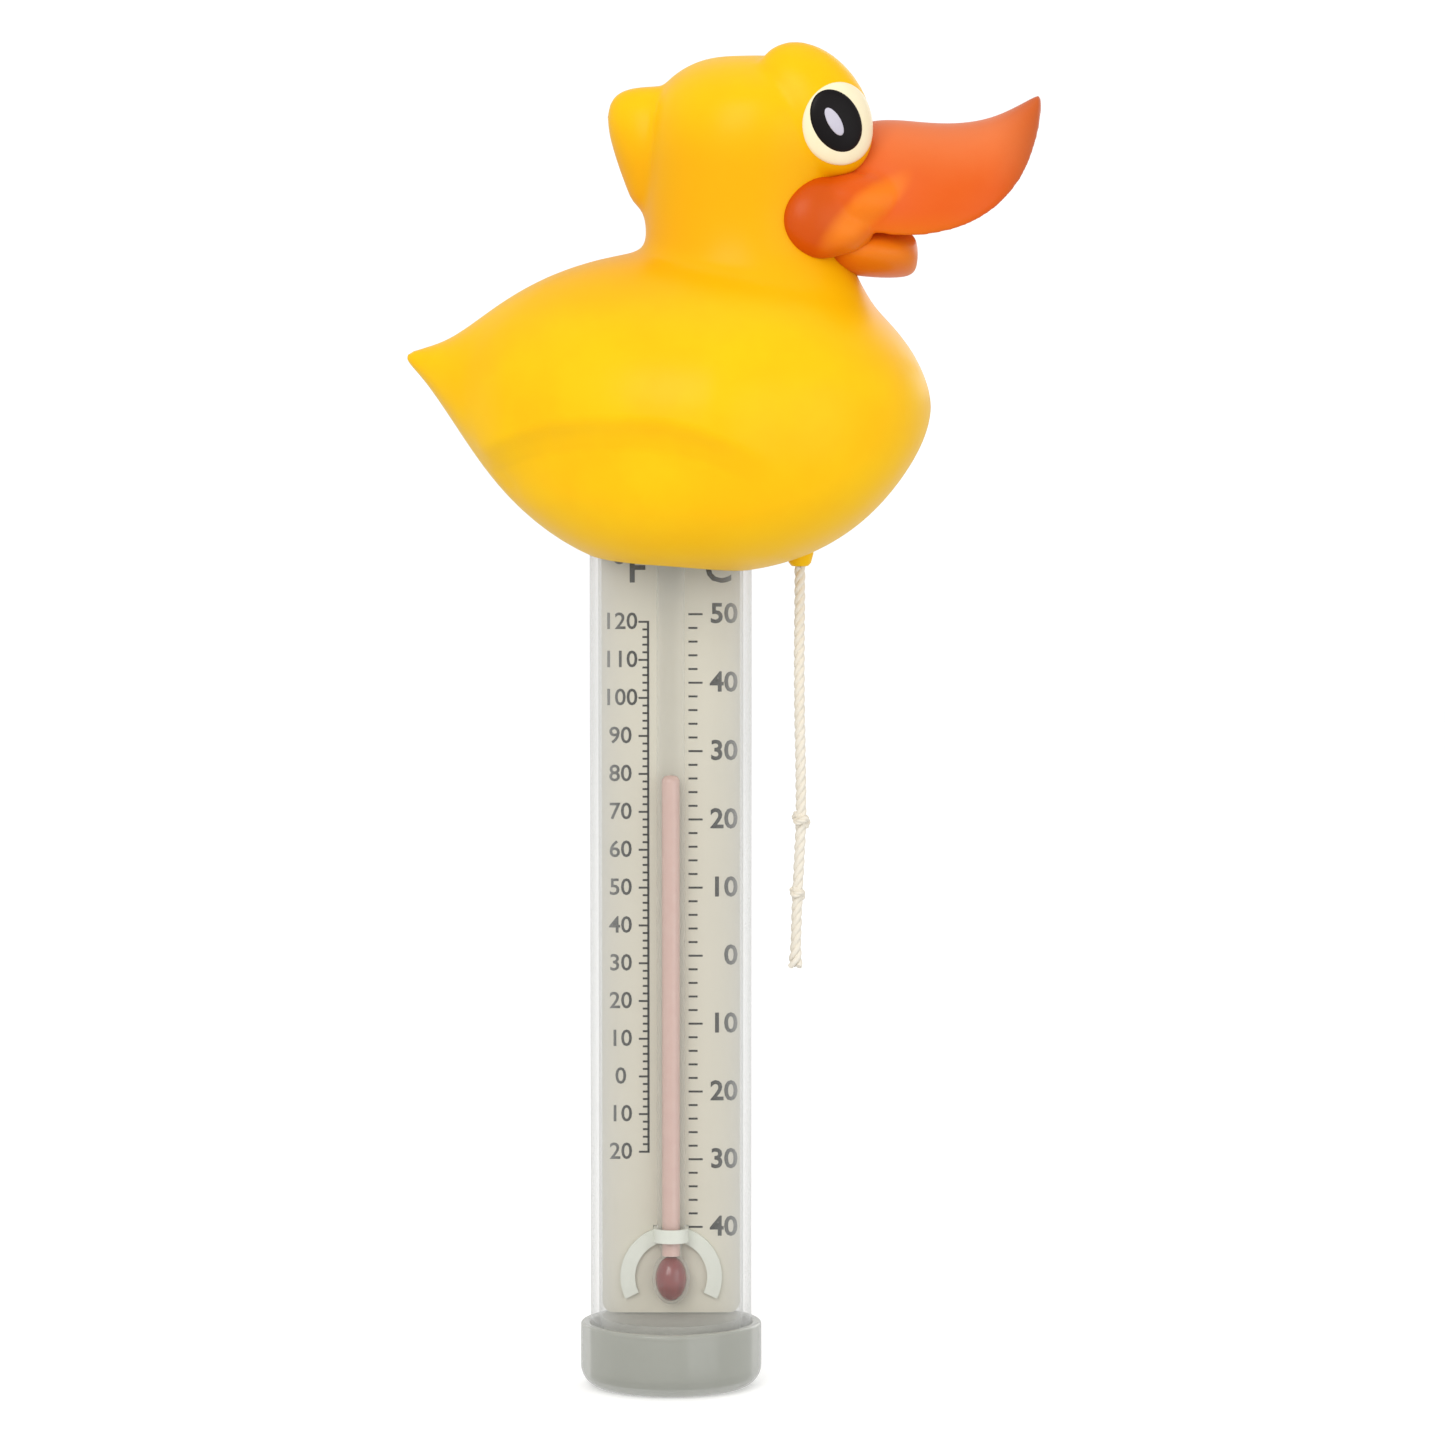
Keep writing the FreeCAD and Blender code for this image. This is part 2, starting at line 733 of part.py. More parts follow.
# build and write
def build():
    left, right = float_shells()
    upper = bill_upper()
    cord = tether_cord()
    return {
        "bottom_cap": bottom_cap(),
        "cap_gasket": cap_gasket(),
        "ballast_weight": ballast_weight(),
        "ballast_pad": ballast_pad(),
        "clear_tube": clear_tube(),
        "top_plug": top_plug(),
        "plug_ring": plug_ring(),
        "scale_card": scale_card(),
        "stem_clip_lower": stem_clip_lower(),
        "stem_clip_upper": clip_solid(upper_clip_z),
        "glass_stem": glass_stem(),
        "spirit_reservoir": spirit_reservoir(),
        "spirit_column": spirit_column(),
        "float_shell_left": left,
        "float_shell_right": right,
        "float_collar": float_collar(),
        "collar_ring": collar_ring(),
        "bill_upper": upper,
        "bill_lower": bill_lower(upper),
        "eye_white_left": eye_white(1),
        "eye_white_right": eye_white(-1),
        "pupil_left": pupil(1),
        "pupil_right": pupil(-1),
        "tether_plug": tether_plug(),
        "anchor_knot": anchor_knot(),
        "tether_cord": cord,
        "tether_knot": knot_on(cord, tether_knot_point, tether_knot_radius),
        "end_knot": knot_on(cord, end_knot_point, end_knot_radius),
    }


os.makedirs(OUT, exist_ok=True)
for name, shape in build().items():
    shape.exportStep(os.path.join(OUT, name + ".step"))
    print("%-18s solids %d  valid %s  volume %.1f" % (
        name, len(shape.Solids), shape.isValid(), shape.Volume))
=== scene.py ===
import math

import bpy
from mathutils import Matrix, Vector


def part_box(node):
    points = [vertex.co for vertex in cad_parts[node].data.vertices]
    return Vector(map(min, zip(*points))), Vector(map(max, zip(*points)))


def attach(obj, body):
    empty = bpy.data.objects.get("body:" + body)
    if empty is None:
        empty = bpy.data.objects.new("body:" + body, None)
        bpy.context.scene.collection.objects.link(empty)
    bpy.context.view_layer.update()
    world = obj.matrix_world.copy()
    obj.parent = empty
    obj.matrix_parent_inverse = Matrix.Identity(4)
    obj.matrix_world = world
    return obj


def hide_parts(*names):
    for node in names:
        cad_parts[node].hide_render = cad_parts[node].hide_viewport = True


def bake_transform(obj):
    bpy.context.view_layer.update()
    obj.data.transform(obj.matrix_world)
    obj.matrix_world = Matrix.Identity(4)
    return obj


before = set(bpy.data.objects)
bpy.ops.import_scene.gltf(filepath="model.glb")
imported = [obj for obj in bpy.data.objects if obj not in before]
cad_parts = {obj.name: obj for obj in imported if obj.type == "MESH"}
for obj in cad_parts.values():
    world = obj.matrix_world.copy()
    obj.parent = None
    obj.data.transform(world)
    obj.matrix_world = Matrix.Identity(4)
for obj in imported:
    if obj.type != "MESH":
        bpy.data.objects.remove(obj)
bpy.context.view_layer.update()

mm = 0.001

tubeLow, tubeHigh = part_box("clear_tube")
tubeRadius = tubeHigh.x


# small helpers
def deselectAll():
    bpy.ops.object.select_all(action="DESELECT")


def makeActive(*pieces):
    deselectAll()
    for piece in pieces:
        piece.select_set(True)
    bpy.context.view_layer.objects.active = pieces[0]


def rename(piece, name):
    piece.name = name
    piece.data.name = name
    return piece


def applyPlace(piece):
    makeActive(piece)
    bpy.ops.object.transform_apply(location=True, rotation=True, scale=True)
    return piece


def applyModifier(piece, kind, **settings):
    makeActive(piece)
    added = piece.modifiers.new(kind.title(), kind)
    for key, value in settings.items():
        setattr(added, key, value)
    bpy.ops.object.modifier_apply(modifier=added.name)
    return piece


def editing(piece, selectAll=True):
    makeActive(piece)
    bpy.ops.object.mode_set(mode="EDIT")
    bpy.ops.mesh.select_all(action="SELECT" if selectAll else "DESELECT")


def doneEditing():
    bpy.ops.mesh.select_all(action="SELECT")
    bpy.ops.mesh.normals_make_consistent(inside=False)
    bpy.ops.object.mode_set(mode="OBJECT")


def joinPieces(pieces, name):
    makeActive(*pieces)
    bpy.ops.object.join()
    return rename(bpy.context.active_object, name)


def smoothShade(piece, angle=None):
    makeActive(piece)
    if angle is None:
        bpy.ops.object.shade_smooth()
    else:
        bpy.ops.object.shade_smooth_by_angle(angle=math.radians(angle))
    return piece


def finishPiece(piece, body, material, replaced=()):
    piece.data.materials.clear()
    piece.data.materials.append(material)
    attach(piece, body)
    if replaced:
        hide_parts(*replaced)
    return piece


# rings stand along x, or up z when upright: (where, middle, half across, half up or forward);
# a profile of (across, up) shares makes them other than ovals, and then middle is where up is 0
def ringLoft(name, rings, sides=40, upright=False, profile=None):
    where, middle, across, tall = rings[0]
    deselectAll()
    bpy.ops.mesh.primitive_circle_add(vertices=len(profile) if profile else sides, radius=1,
                                      fill_type="NGON")
    piece = bpy.context.active_object
    if profile:
        for vertex, (sideways, up) in zip(piece.data.vertices, profile):
            vertex.co = (-up, sideways, 0)
    if upright:
        piece.location = (middle, 0, where)
    else:
        piece.rotation_euler = (0, math.pi / 2, 0)
        piece.location = (where, 0, middle)
    piece.scale = (tall, across, 1)
    applyPlace(piece)
    editing(piece)
    for newWhere, newMiddle, newAcross, newTall in rings[1:]:
        if upright:
            step = (newMiddle - middle, 0, newWhere - where)
            grow = (newTall / tall, newAcross / across, 1)
            hub = (newMiddle, 0, newWhere)
        else:
            step = (newWhere - where, 0, newMiddle - middle)
            grow = (1, newAcross / across, newTall / tall)
            hub = (newWhere, 0, newMiddle)
        bpy.ops.mesh.extrude_region_move(TRANSFORM_OT_translate={"value": step})
        bpy.ops.transform.resize(value=grow, center_override=hub)
        where, middle, across, tall = newWhere, newMiddle, newAcross, newTall
    doneEditing()
    return rename(piece, name)


def ellipsoid(name, place, radii, turn=(0, 0, 0)):
    deselectAll()
    bpy.ops.mesh.primitive_uv_sphere_add(segments=48, ring_count=24, radius=1, location=place)
    piece = bpy.context.active_object
    piece.scale = radii
    piece.rotation_euler = [math.radians(angle) for angle in turn]
    return rename(applyPlace(piece), name)


# a turned part: the outline's points (radius, height) spun about the tube's axis; an outline that
# starts on the axis also ends there
def turned(name, outline, steps=96, centre=(0, 0)):
    deselectAll()
    bpy.ops.mesh.primitive_plane_add(size=mm, location=(0, 0, 0))
    piece = bpy.context.active_object
    editing(piece)
    bpy.ops.mesh.delete(type="VERT")
    bpy.ops.object.mode_set(mode="OBJECT")
    points = [(radius, 0, height) for radius, height in outline]
    count = len(points)
    edges = [(i, i + 1) for i in range(count - 1)]
    if outline[0][0] > 0.001 * mm:
        edges.append((count - 1, 0))
    piece.data.from_pydata(points, edges, [])
    editing(piece)
    bpy.ops.mesh.spin(steps=steps, angle=2 * math.pi, center=(0, 0, 0), axis=(0, 0, 1), use_auto_merge=True)
    bpy.ops.mesh.select_all(action="SELECT")
    bpy.ops.mesh.remove_doubles(threshold=0.004 * mm)
    doneEditing()
    piece.location = (centre[0], centre[1], 0)
    return rename(applyPlace(piece), name)


def cutAway(piece, cutter):
    applyModifier(piece, "BOOLEAN", object=cutter, operation="DIFFERENCE", solver="EXACT")
    bpy.data.objects.remove(cutter)
    return piece


# shader maths
class Wire:
    def __init__(self, socket):
        self.socket = socket

    def node(self, kind, settings, values, output=0):
        tree = self.socket.id_data
        made = tree.nodes.new(kind)
        for key, value in settings.items():
            setattr(made, key, value)
        for key, value in values.items():
            if isinstance(value, Wire):
                tree.links.new(value.socket, made.inputs[key])
            else:
                made.inputs[key].default_value = value
        return Wire(made.outputs[output])

    def maths(self, operation, first, second):
        return self.node("ShaderNodeMath", {"operation": operation}, {0: first, 1: second})

    def __add__(self, other):
        return self.maths("ADD", self, other)

    def __radd__(self, other):
        return self.maths("ADD", other, self)

    def __sub__(self, other):
        return self.maths("SUBTRACT", self, other)

    def __rsub__(self, other):
        return self.maths("SUBTRACT", other, self)

    def __mul__(self, other):
        return self.maths("MULTIPLY", self, other)

    def __rmul__(self, other):
        return self.maths("MULTIPLY", other, self)

    def __pow__(self, other):
        return self.maths("POWER", self, other)

    # 0 below low, 1 above high
    def between(self, low, high):
        return self.node("ShaderNodeMapRange", {"interpolation_type": "SMOOTHSTEP"},
                         {"Value": self, "From Min": low, "From Max": high})

    def blendColours(self, low, high):
        return self.node("ShaderNodeMix", {"data_type": "RGBA"}, {0: self, 6: low, 7: high}, 2)

    def noise(self, scale, detail=3.0, rough=0.5):
        return self.node("ShaderNodeTexNoise", {}, {"Vector": self, "Scale": scale, "Detail": detail,
                                                    "Roughness": rough})

    def stretched(self, scale):
        return self.node("ShaderNodeMapping", {}, {"Vector": self, "Scale": scale})

    def bump(self, strength, distance):
        return self.node("ShaderNodeBump", {}, {"Height": self, "Strength": strength, "Distance": distance})

    def axis(self, letter):
        return self.node("ShaderNodeSeparateXYZ", {}, {0: self}, "XYZ".index(letter))


# a material with its Principled node, and the Object coordinates that its patterns read
def newMaterial(name):
    material = bpy.data.materials.new(name)
    material.use_nodes = True
    principled = material.node_tree.nodes["Principled BSDF"]
    coordinates = material.node_tree.nodes.new("ShaderNodeTexCoord")
    return material, principled, Wire(coordinates.outputs["Object"])


def setSockets(principled, **values):
    tree = principled.id_data
    for key, value in values.items():
        socket = principled.inputs[key.replace("_", " ")]
        if isinstance(value, Wire):
            tree.links.new(value.socket, socket)
        else:
            socket.default_value = value


def rgba(red, green, blue):
    return (red, green, blue, 1.0)


# camera and lights
cameraSettings = {
    "target": (9.1 * mm, 0, 117.8 * mm),
    "distance": 1.10,
    "elevation": 4.4,
    "azimuth": 0.0,
    "frameWidth": 0.2543,
    "sensor": 36.0,
}


def makeCamera():
    view = cameraSettings
    rise, around = math.radians(view["elevation"]), math.radians(view["azimuth"])
    back = Vector((math.sin(around) * math.cos(rise), -math.cos(around) * math.cos(rise), math.sin(rise)))
    data = bpy.data.cameras.new("camera")
    data.sensor_width = view["sensor"]
    data.lens = view["sensor"] * view["distance"] / view["frameWidth"]
    data.clip_start, data.clip_end = 0.05, 20
    camera = bpy.data.objects.new("camera", data)
    camera.location = Vector(view["target"]) + back * view["distance"]
    camera.rotation_euler = (-back).to_track_quat("-Z", "Y").to_euler()
    bpy.context.scene.collection.objects.link(camera)
    bpy.context.scene.camera = camera


lightSettings = [
    # name, place, size, power, colour
    ("key", (-0.40, -1.15, 0.70), 0.8, 7.4, (1.0, 0.985, 0.96)),
    ("fill", (1.00, -1.10, 0.20), 1.1, 4.2, (0.97, 0.985, 1.0)),
    ("top", (0.05, 0.05, 1.25), 0.8, 0.7, (1.0, 1.0, 1.0)),
    ("back", (0.55, 0.95, 0.55), 0.7, 1.6, (1.0, 1.0, 1.0)),
]
lightAim = Vector((0, 0, 0.13))
worldStrength = 0.76


def makeLights():
    for name, place, size, power, colour in lightSettings:
        data = bpy.data.lights.new(name, "AREA")
        data.size, data.energy, data.color = size, power, colour
        lamp = bpy.data.objects.new(name, data)
        lamp.location = place
        lamp.rotation_euler = (lightAim - Vector(place)).to_track_quat("-Z", "Y").to_euler()
        bpy.context.scene.collection.objects.link(lamp)
    world = bpy.data.worlds.new("studio")
    world.use_nodes = True
    world.node_tree.nodes["Background"].inputs["Color"].default_value = rgba(1, 1, 1)
    world.node_tree.nodes["Background"].inputs["Strength"].default_value = worldStrength
    bpy.context.scene.world = world
    bpy.context.scene.view_settings.view_transform = "Standard"


# a wide round bowl, so that the floor runs up into a plain backdrop on every side; sizes in metres
bowl = {"radius": 2.3, "height": 2.6, "corner": 0.7, "sides": 96, "cornerSteps": 16, "glow": 0.30}


def makeFloor():
    deselectAll()
    bpy.ops.mesh.primitive_circle_add(vertices=bowl["sides"], radius=bowl["radius"], fill_type="NGON",
                                      location=(0, 0, bowl["height"]))
    floor = applyPlace(bpy.context.active_object)
    editing(floor)
    bpy.ops.mesh.extrude_region_move(TRANSFORM_OT_translate={"value": (0, 0, -bowl["height"])})
    bpy.ops.mesh.select_all(action="DESELECT")
    bpy.ops.mesh.select_mode(type="EDGE")
    bpy.ops.object.mode_set(mode="OBJECT")
    for edge in floor.data.edges:
        edge.select = all(abs(floor.data.vertices[i].co.z) < 0.01 for i in edge.vertices)
    bpy.ops.object.mode_set(mode="EDIT")
    bpy.ops.mesh.bevel(offset=bowl["corner"], segments=bowl["cornerSteps"], affect="EDGES")
    bpy.ops.object.mode_set(mode="OBJECT")
    smoothShade(rename(floor, "floorBowl"))
    # the bowl lends the piece no light
    floor.visible_diffuse = floor.visible_glossy = floor.visible_shadow = False
    material, principled, place = newMaterial("paleFloor")
    cloudy = place.noise(3.0)
    setSockets(principled, Base_Color=cloudy.blendColours(rgba(0.92, 0.92, 0.92), rgba(0.94, 0.94, 0.94)),
               Roughness=0.8, Emission_Color=rgba(1, 1, 1), Emission_Strength=bowl["glow"])
    floor.data.materials.append(material)


makeCamera()
makeLights()
makeFloor()
print("camera, lights and floor made")


# tether cord
tether = {
    "exit": (22.70, 0.0, 145.363),      # where it leaves the belly plug, in mm
    "route": [(0.00, 0.00, 0.0), (0.00, 0.00, 6.2), (-0.12, -0.32, 15.4), (-0.05, -0.38, 26.0),
              (0.18, -0.20, 36.2), (0.25, 0.08, 44.8), (-0.05, 0.24, 51.3), (-0.38, 0.32, 57.8),
              (-0.62, 0.58, 64.8), (-0.75, 0.95, 70.8)],
    "diameter": 2.0,
    "strands": 3,
    "strandShare": 0.54,                 # a strand's radius as a share of the cord's
    "twist": 5.4,                        # length of one full turn of the strands, in mm
    "fray": 0.9, "frayLength": 5.0,      # how far the strands open, over how much of the free end
    # piece, node, point of the route that it is tied at, size in mm
    "knots": [("tetherKnot", "tether_knot", 5, 0.47), ("endKnot", "end_knot", 7, 0.38)],
    "knotSteps": 72, "knotLean": 0.5, "knotShare": 0.62, "knotTwist": 3.0,
}


def tetherPoints():
    x, y, z = tether["exit"]
    return [Vector((x + dx, y + dy, z - drop)) * mm for dx, dy, drop in tether["route"]]


def routeCurve(name, points):
    data = bpy.data.curves.new(name, "CURVE")
    data.dimensions = "3D"
    data.resolution_u = 26
    spline = data.splines.new("NURBS")
    spline.points.add(len(points) - 1)
    for target, point in zip(spline.points, points):
        target.co = (*point, 1)
    spline.order_u = 3
    spline.use_endpoint_u = True
    piece = bpy.data.objects.new(name, data)
    bpy.context.scene.collection.objects.link(piece)
    return piece


def linePoints(curvePiece):
    line = bpy.data.meshes.new_from_object(curvePiece)
    points = [vertex.co.copy() for vertex in line.vertices]
    bpy.data.meshes.remove(line)
    return points


# strands twisted round a line of points, as one mesh
def twistedStrands(name, points, radius, count, twist, frayed=0.0):
    strandRadius = radius * tether["strandShare"]
    lay = radius - strandRadius
    total = sum((b - a).length for a, b in zip(points, points[1:]))
    made = []
    side = Vector((1, 0, 0))
    frames, travelled = [], 0.0
    for index, point in enumerate(points):
        ahead = (points[min(index + 1, len(points) - 1)] - points[max(index - 1, 0)]).normalized()
        side = (side - ahead * side.dot(ahead)).normalized()
        frames.append((point, side.copy(), ahead.cross(side), travelled))
        if index + 1 < len(points):
            travelled += (points[index + 1] - point).length
    for strand in range(count):
        line = []
        for point, across, over, travelled in frames:
            turn = 2 * math.pi * (travelled / twist + strand / count)
            spread = 1 + frayed * max(0.0, 1 - (total - travelled) / (tether["frayLength"] * mm)) ** 2
            line.append(point + (across * math.cos(turn) + over * math.sin(turn)) * lay * spread)
        strandCurve = routeCurve("strand", line)
        strandCurve.data.resolution_u = 1
        strandCurve.data.bevel_depth = strandRadius
        strandCurve.data.bevel_resolution = 2
        strandCurve.data.use_fill_caps = True
        makeActive(strandCurve)
        bpy.ops.object.convert(target="MESH")
        made.append(bpy.context.active_object)
    piece = joinPieces(made, name)
    editing(piece)
    doneEditing()
    return smoothShade(piece)


# a trefoil, which is an overhand knot with its ends joined
def knotPoints(centre, size, lean):
    line = []
    for step in range(tether["knotSteps"]):
        t = 2 * math.pi * step / (tether["knotSteps"] - 1)
        around = Vector((math.sin(t) + 2 * math.sin(2 * t), math.cos(t) - 2 * math.cos(2 * t),
                         -1.3 * math.sin(3 * t)))
        line.append(centre + Matrix.Rotation(lean, 3, "Y") @ around * size)
    return line


def cordMaterial():
    material, principled, place = newMaterial("tetherFibre")
    fibres = place.stretched((1.0, 1.0, 0.35)).noise(5200, 4)
    grime = place.noise(90)
    tone = grime.blendColours(rgba(0.80, 0.74, 0.62), rgba(0.90, 0.86, 0.77))
    setSockets(principled, Base_Color=(fibres * 0.35).blendColours(tone, rgba(0.62, 0.55, 0.44)),
               Roughness=0.75 + 0.15 * grime, Normal=fibres.bump(0.5, 0.08 * mm),
               Sheen_Weight=0.35, Sheen_Roughness=0.4)
    return material


def makeTether():
    points = tetherPoints()
    route = routeCurve("tetherRoute", points)
    line = linePoints(route)
    bpy.data.objects.remove(route)
    radius = tether["diameter"] * mm / 2
    fibre = cordMaterial()
    cord = twistedStrands("tetherCord", line, radius, tether["strands"],
                          tether["twist"] * mm, frayed=tether["fray"])
    finishPiece(cord, "float", fibre, ["tether_cord"])
    for name, node, index, size in tether["knots"]:
        wound = twistedStrands(name, knotPoints(points[index], size * mm, tether["knotLean"]),
                               radius * tether["knotShare"], tether["strands"], tether["knotTwist"] * mm)
        finishPiece(wound, "float", fibre, [node])


makeTether()


# soft tapered grommet that the cord comes out of, in mm
grommet = {"clearance": 0.05, "edge": 0.3, "taper": [(1.55, 0.1), (1.95, 0.6)], "shoulder": 2.2}


def makeGrommet(yellow):
    low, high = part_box("tether_plug")
    outer = (high.x - low.x) / 2
    hole = tether["diameter"] / 2 * mm + grommet["clearance"] * mm
    edge = grommet["edge"] * mm
    outline = [(hole, low.z + edge), (hole + edge, low.z)]
    outline += [(radius * mm, low.z + height * mm) for radius, height in grommet["taper"]]
    outline += [(outer, low.z + grommet["shoulder"] * mm), (outer, high.z), (hole, high.z)]
    piece = turned("cordGrommet", outline, 48, centre=(tether["exit"][0] * mm, tether["exit"][1] * mm))
    smoothShade(piece, 50)
    finishPiece(piece, "float", yellow, ["tether_plug"])


# duck: one soft-edged moulded form
duck = {
    "rear": -46.6, "length": 92.3, "height": 57.5, "width": 65.0, "belly": 144.0,
    "fullness": 2.6,                     # 2 would give the lower body an oval section
    # share of the length, top and bottom as shares of the height, half width share
    "body": [(0.000, 0.675, 0.650, 0.02), (0.035, 0.690, 0.600, 0.10), (0.090, 0.715, 0.470, 0.25),
             (0.170, 0.820, 0.272, 0.46), (0.270, 0.915, 0.122, 0.69), (0.390, 0.975, 0.020, 0.89),
             (0.520, 1.000, 0.000, 0.99), (0.660, 0.995, 0.005, 1.00), (0.780, 0.945, 0.060, 0.92),
             (0.880, 0.840, 0.165, 0.75), (0.950, 0.720, 0.300, 0.54), (0.988, 0.610, 0.410, 0.28),
             (1.000, 0.530, 0.490, 0.06)],
    # height above the belly, back and front, half width, in mm
    "neckAndHead": [(40.0, -2.4, 40.0, 25.0), (46.5, -2.9, 36.0, 20.5), (53.0, -3.8, 32.2, 17.4),
                    (58.0, -4.4, 30.8, 16.4), (63.5, -4.6, 30.6, 16.8), (70.0, -4.8, 32.0, 18.2),
                    (76.0, -4.7, 33.5, 19.3), (81.0, -3.8, 33.6, 19.0), (85.0, -1.9, 32.4, 17.2),
                    (88.0, 1.4, 29.6, 13.6), (89.9, 5.4, 25.0, 8.8), (90.6, 9.6, 20.0, 3.6)],
    # height above the belly, how far back, half width: the tuft behind the head, and where it is rooted
    "tuft": [(62.0, -5.8, 3.5), (68.0, -8.0, 6.0), (73.5, -10.0, 7.4), (79.0, -11.4, 6.8),
             (83.0, -10.8, 5.2), (85.4, -7.6, 3.2)],
    "tuftRoot": 6.0,
    "browPlace": (24.8, 10.8, 80.9), "browRadii": (9.1, 7.4, 12.8), "browLean": 34,
    # the wing's lower edge as x and height above the belly, and where its relief fades out
    "wingEdge": [(-40, 17.0), (-31, 19.4), (-26, 21.8), (-20, 23.6), (-14, 24.3), (-7, 24.4), (0, 23.8),
                 (6, 22.4), (12, 20.0), (20, 16.0)],
    "wingRelief": 1.8, "wingLip": 4.4, "wingTop": (30, 50), "wingTail": (-37, -27), "wingFront": (6, 20),
    "wingInset": (6, 12),                # it fades out towards the middle of the duck too
    "wingHollow": 0.7, "hollowDepth": 11.0,      # a shallow hollow under the wing, and how far down it goes
    "voxel": 0.55, "smoothing": 16, "neckSmoothing": 120, "neckZone": (38, 46, 59, 67), "seamBevel": 0.22,
    "paintedNeckShade": (42, 58, 70, 84),        # heights above the belly where the painted shade under the head comes and goes
    "socketRadius": 14.6, "socketOver": 0.6,     # the tube's socket, and how far over the plug it goes
}


def duckMaterial():
    material, principled, place = newMaterial("duckYellow")
    patches = place.noise(38, 4, 0.55)
    peel = place.noise(1500, 2, 0.4)
    smudges = place.noise(120, 5, 0.6).between(0.52, 0.75)
    tone = patches.between(0.35, 0.65).blendColours(rgba(0.945, 0.505, 0.001), rgba(0.970, 0.555, 0.002))
    height = place.axis("Z")
    low, full, fading, high = [(duck["belly"] + above) * mm for above in duck["paintedNeckShade"]]
    # painted shade: the neck under the head and bill is coloured a deeper yellow where shade falls
    neck = height.between(low, full) * (1 - height.between(fading, high))
    tone = neck.blendColours(tone, rgba(0.88, 0.430, 0.001))
    setSockets(principled, Base_Color=tone, Roughness=0.34 + 0.10 * smudges,
               Normal=peel.bump(0.10, 0.05 * mm), Specular_IOR_Level=0.13,
               Subsurface_Weight=0.06, Subsurface_Radius=(0.004, 0.002, 0.0006), Subsurface_Scale=0.5)
    return material


# an oval above its middle and squarer below it, as shares across and up
def bodySection(sides=40):
    section = []
    for step in range(sides):
        turn = 2 * math.pi * step / sides
        across, up = math.cos(turn), math.sin(turn)
        if up < 0:
            power = duck["fullness"]
            bulge = (abs(across) ** power + abs(up) ** power) ** (1 / power)
            across, up = across / bulge, up / bulge
        section.append((across, up))
    return section


def makeDuckBody():
    base = duck["belly"]
    bodyRings = []
    for share, top, bottom, width in duck["body"]:
        bodyRings.append(((duck["rear"] + share * duck["length"]) * mm,
                          (base + duck["height"] * (top + bottom) / 2) * mm,
                          width * duck["width"] / 2 * mm, duck["height"] * (top - bottom) / 2 * mm))
    parts = [ringLoft("bodyForm", bodyRings, profile=bodySection())]
    headRings = [((base + height) * mm, (back + front) / 2 * mm, wide * mm, (front - back) / 2 * mm)
                 for height, back, front, wide in duck["neckAndHead"]]
    parts.append(ringLoft("headForm", headRings, upright=True))
    root = duck["tuftRoot"]
    tuftRings = [((base + height) * mm, (back + root) / 2 * mm, wide * mm, (root - back) / 2 * mm)
                 for height, back, wide in duck["tuft"]]
    parts.append(ringLoft("tuftForm", tuftRings, 24, upright=True))
    for part in parts:
        applyModifier(part, "SUBSURF", levels=2, render_levels=2)
    for side in (-1, 1):
        x, y, z = duck["browPlace"]
        parts.append(ellipsoid("brow", (x * mm, side * y * mm, (base + z) * mm),
                               [radius * mm for radius in duck["browRadii"]], (0, -duck["browLean"], 0)))
    skin = joinPieces(parts, "duckBody")
    applyModifier(skin, "REMESH", mode="VOXEL", voxel_size=duck["voxel"] * mm, use_smooth_shade=True)
    applyModifier(skin, "SMOOTH", factor=0.5, iterations=duck["smoothing"])
    softenNeck(skin)
    raiseWings(skin)
    return skin


def easing(value, low, high):
    share = min(1.0, max(0.0, (value - low) / (high - low)))
    return share * share * (3 - 2 * share)


# the neck melts into the back and the breast in a wide hollow curve
def softenNeck(skin):
    group = skin.vertex_groups.new(name="neck")
    low, full, fading, high = duck["neckZone"]
    for vertex in skin.data.vertices:
        height = vertex.co.z / mm - duck["belly"]
        weight = easing(height, low, full) * (1 - easing(height, fading, high))
        if weight > 0:
            group.add([vertex.index], weight, "REPLACE")
    applyModifier(skin, "SMOOTH", factor=0.5, iterations=duck["neckSmoothing"], vertex_group="neck")
    skin.vertex_groups.clear()


def alongLine(points, x):
    for (x0, z0), (x1, z1) in zip(points, points[1:]):
        if x <= x1:
            return z0 + (z1 - z0) * (x - x0) / (x1 - x0)
    return points[-1][1]


# each wing stands out at its lower edge and melts into the back, the tail and the breast
def raiseWings(skin):
    normals = [vertex.normal.copy() for vertex in skin.data.vertices]
    for vertex, normal in zip(skin.data.vertices, normals):
        x, y, z = vertex.co / mm
        height = z - duck["belly"]
        above = height - alongLine(duck["wingEdge"], x)
        relief = easing(above, 0, duck["wingLip"]) * duck["wingRelief"]
        relief *= 1 - easing(height, *duck["wingTop"])
        depth = duck["hollowDepth"]
        hollow = easing(above, -depth, -0.3 * depth) * (1 - easing(above, -0.2 * depth, 1.0))
        relief -= hollow * duck["wingHollow"]
        relief *= easing(x, *duck["wingTail"]) * (1 - easing(x, *duck["wingFront"]))
        relief *= easing(abs(y), *duck["wingInset"])
        vertex.co += normal * relief * mm


duckSkin = makeDuckBody()
print("duck form made, %d faces" % len(duckSkin.data.polygons))


